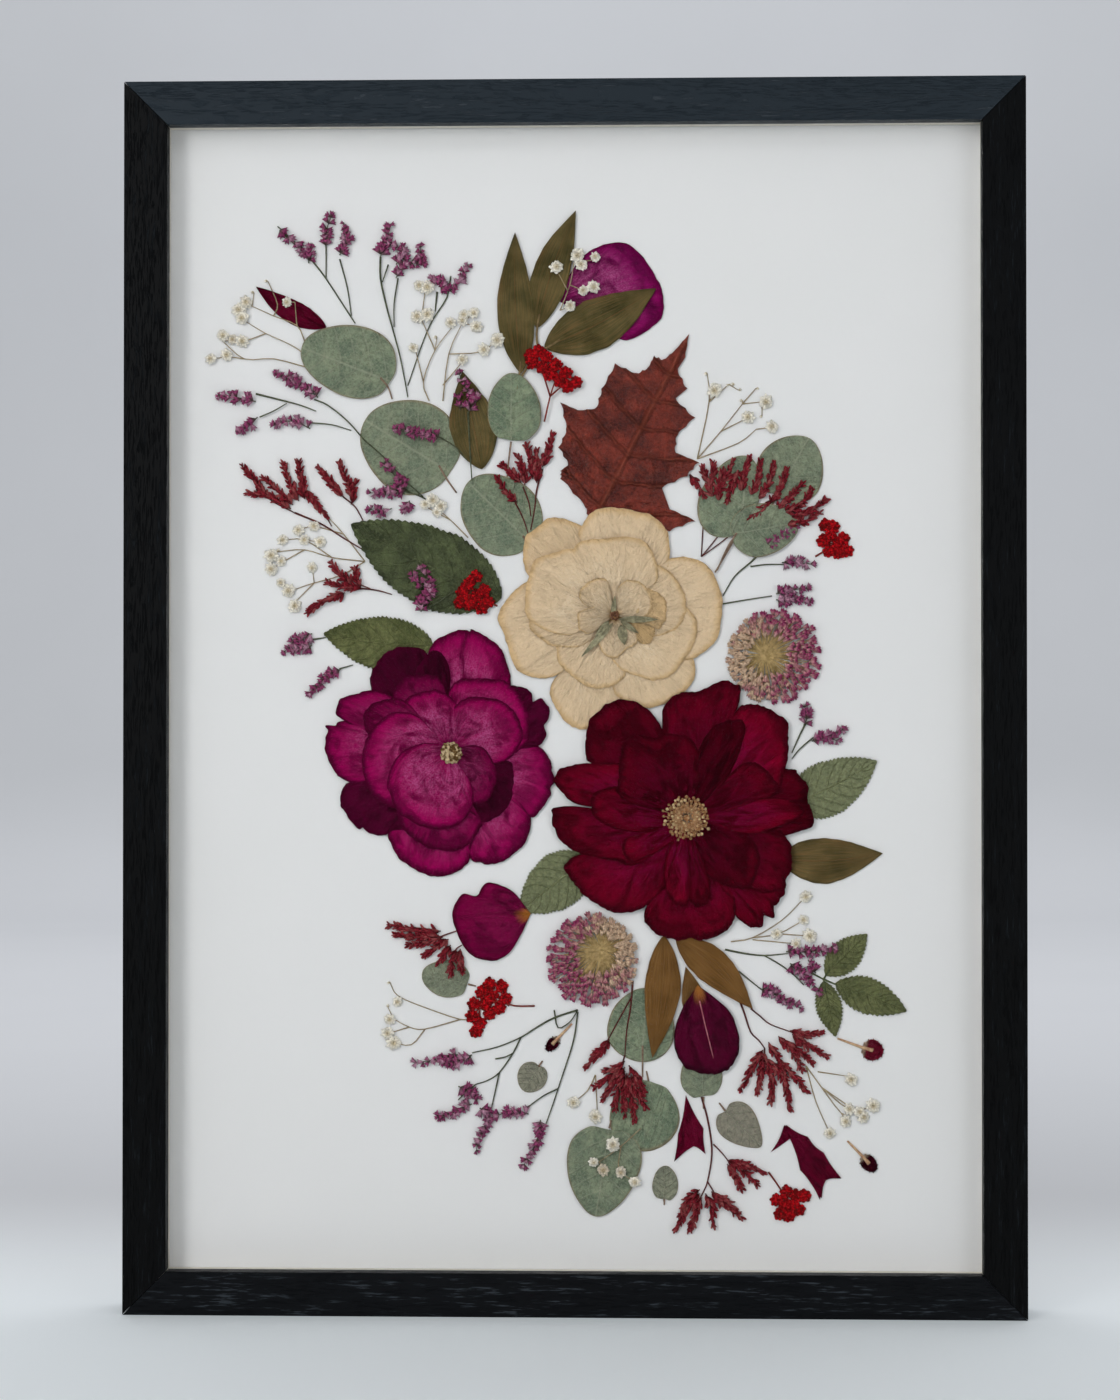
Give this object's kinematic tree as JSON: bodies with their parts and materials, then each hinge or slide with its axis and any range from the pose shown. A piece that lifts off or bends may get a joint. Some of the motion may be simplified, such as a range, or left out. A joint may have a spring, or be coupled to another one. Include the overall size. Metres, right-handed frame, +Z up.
{
  "type": "pressed flower frame",
  "caption": "Upright glazed picture frame in black grained wood holding pressed roses, leaves, petals and dried sprays on a white board.",
  "frame": {"origin": "middle of the frame's foot, halfway between the front face and the back", "axes": "+Z up, the glass faces -Y, +X to the right as seen from the front"},
  "size_m": [0.456, 0.0333, 0.625],
  "materials": {
    "frame_wood": "black stained open-grain wood, satin",
    "glass": "clear picture glass, polished",
    "spacer": "off-white foam-core strip, matte",
    "mount_board": "white mount board, matte",
    "backing_board": "brown hardboard, matte",
    "steel": "zinc-plated steel, satin",
    "eucalyptus": "dried grey-green leaf, matte",
    "rose_leaf": "dried dark green leaf, matte",
    "ruscus": "dried olive-brown leaf, satin",
    "maple": "dried dark red leaf, satin",
    "magenta_petal": "dried magenta petal, matte",
    "beige_petal": "dried cream petal, matte",
    "crimson_petal": "dried crimson petal, matte",
    "dark_petal": "dried black-red petal, satin",
    "allium": "dried pink florets, matte",
    "yarrow": "dried red florets, matte"
  },
  "bodies": {
    "root": {"allium_lower": "allium", "allium_upper": "allium", "backing_board": "backing_board", "eucalyptus_01": "eucalyptus", "eucalyptus_02": "eucalyptus", "eucalyptus_03": "eucalyptus", "eucalyptus_04": "eucalyptus", "eucalyptus_05": "eucalyptus", "eucalyptus_06": "eucalyptus", "eucalyptus_07": "eucalyptus", "eucalyptus_08": "eucalyptus", "eucalyptus_09": "eucalyptus", "eucalyptus_10": "eucalyptus", "eucalyptus_11": "eucalyptus", "eucalyptus_12": "eucalyptus", "eucalyptus_13": "eucalyptus", "eucalyptus_14": "eucalyptus", "eucalyptus_15": "eucalyptus", "glazing": "glass", "hanger_plate": "steel", "mount_board": "mount_board", "petal_burgundy": "crimson_petal", "petal_dark": "dark_petal", "petal_lance": "crimson_petal", "petal_magenta": "magenta_petal", "rail_bottom": "frame_wood", "rail_left": "frame_wood", "rail_right": "frame_wood", "rail_top": "frame_wood", "red_maple_leaf": "maple", "rose_beige": "beige_petal", "rose_crimson": "crimson_petal", "rose_leaf_1": "rose_leaf", "rose_leaf_2": "rose_leaf", "rose_leaf_3": "rose_leaf", "rose_leaf_4": "rose_leaf", "rose_leaf_sprig": "rose_leaf", "rose_magenta": "magenta_petal", "ruscus_leaf_1": "ruscus", "ruscus_leaf_2": "ruscus", "ruscus_leaf_3": "ruscus", "ruscus_leaf_4": "ruscus", "ruscus_leaf_5": "ruscus", "ruscus_sprig": "ruscus", "spacer_bottom": "spacer", "spacer_left": "spacer", "spacer_right": "spacer", "spacer_top": "spacer", "tab_1": "steel", "tab_2": "steel", "tab_3": "steel", "tab_4": "steel", "tab_5": "steel", "tab_6": "steel", "yarrow_1": "yarrow", "yarrow_2": "yarrow", "yarrow_3": "yarrow", "yarrow_4": "yarrow", "yarrow_5": "yarrow"}
  },
  "joints": []
}
